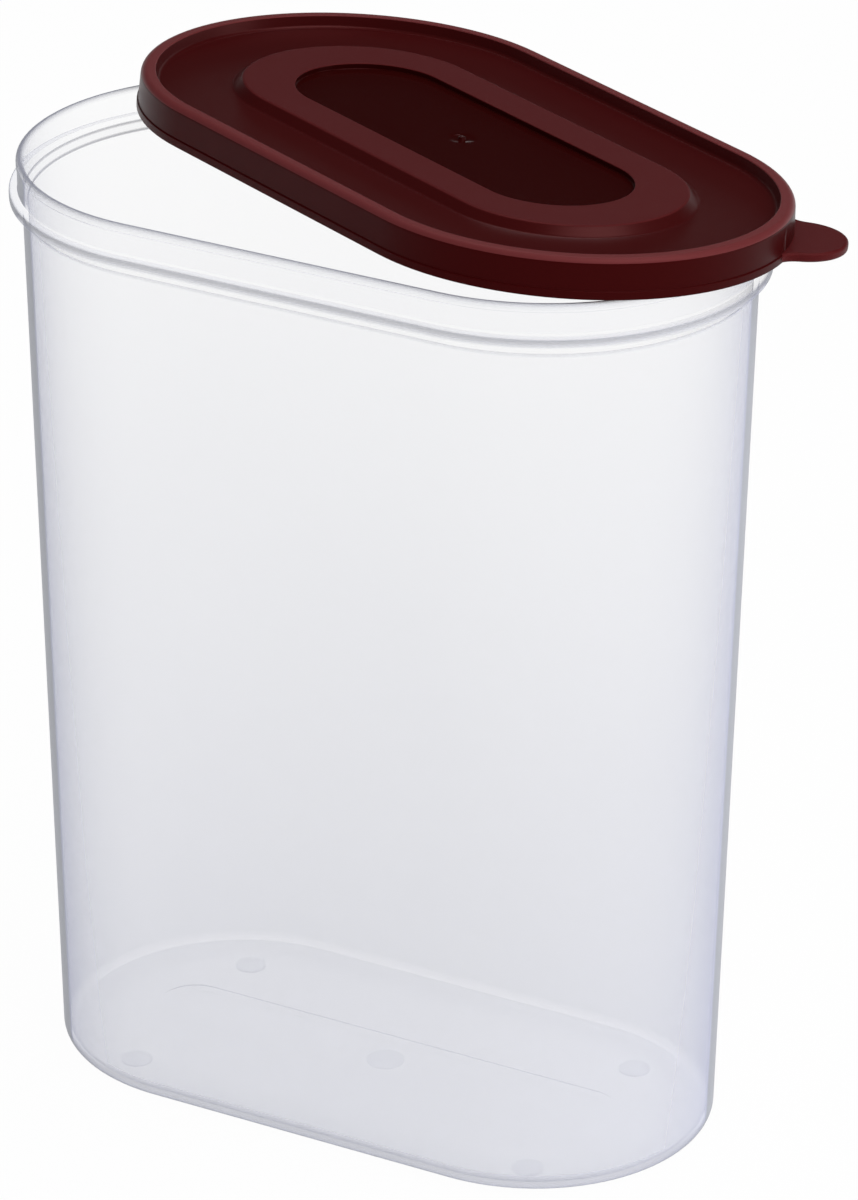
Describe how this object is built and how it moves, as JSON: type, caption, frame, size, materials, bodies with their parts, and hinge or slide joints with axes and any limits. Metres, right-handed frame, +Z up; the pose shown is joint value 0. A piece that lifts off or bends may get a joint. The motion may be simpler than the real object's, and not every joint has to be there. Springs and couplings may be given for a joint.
{
  "type": "oval cereal container with lid",
  "caption": "Tall translucent oval storage container with a dark red press-on lid lying askew on its open rim.",
  "frame": {"origin": "centre of the container's footprint, on the surface it stands on", "axes": "+Z up; X along the container's long side, towards the end where the lid's thumb tab lies; Y across the container"},
  "size_m": [0.2342, 0.1701, 0.2864],
  "materials": {
    "natural_plastic": "natural translucent polypropylene, satin",
    "red_plastic": "fine matte grain, polished recess"
  },
  "bodies": {
    "container": {"container": "natural_plastic"},
    "lid": {"lid": "red_plastic"}
  },
  "joints": [
    {"name": "lid_lift_off", "type": "slide", "parent": "container", "child": "lid", "axis": [0, 0, 1], "range_m": [0, 0.15]}
  ]
}
